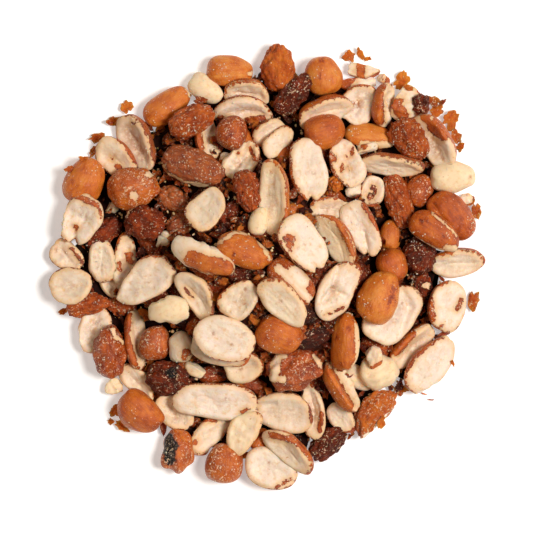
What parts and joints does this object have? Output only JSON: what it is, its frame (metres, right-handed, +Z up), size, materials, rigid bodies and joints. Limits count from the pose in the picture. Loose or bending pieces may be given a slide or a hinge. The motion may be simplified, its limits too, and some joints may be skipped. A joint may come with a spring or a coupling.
{
  "type": "heap of peanuts",
  "caption": "Loose heap of mixed roasted peanuts, whole, split and broken, lying on its flat underside.",
  "frame": {"origin": "on the surface that the heap lies on, under the middle of its outline", "axes": "+Z up; +Y towards the upper edge of the picture, which looks straight down, and +X to its right"},
  "size_m": [0.1221, 0.125, 0.0271],
  "materials": {
    "roasted_nut": "matte cream cut faces beside satin orange to red-brown papery skins, some burnt dark"
  },
  "bodies": {
    "root": {"peanut_heap": "roasted_nut"}
  },
  "joints": []
}
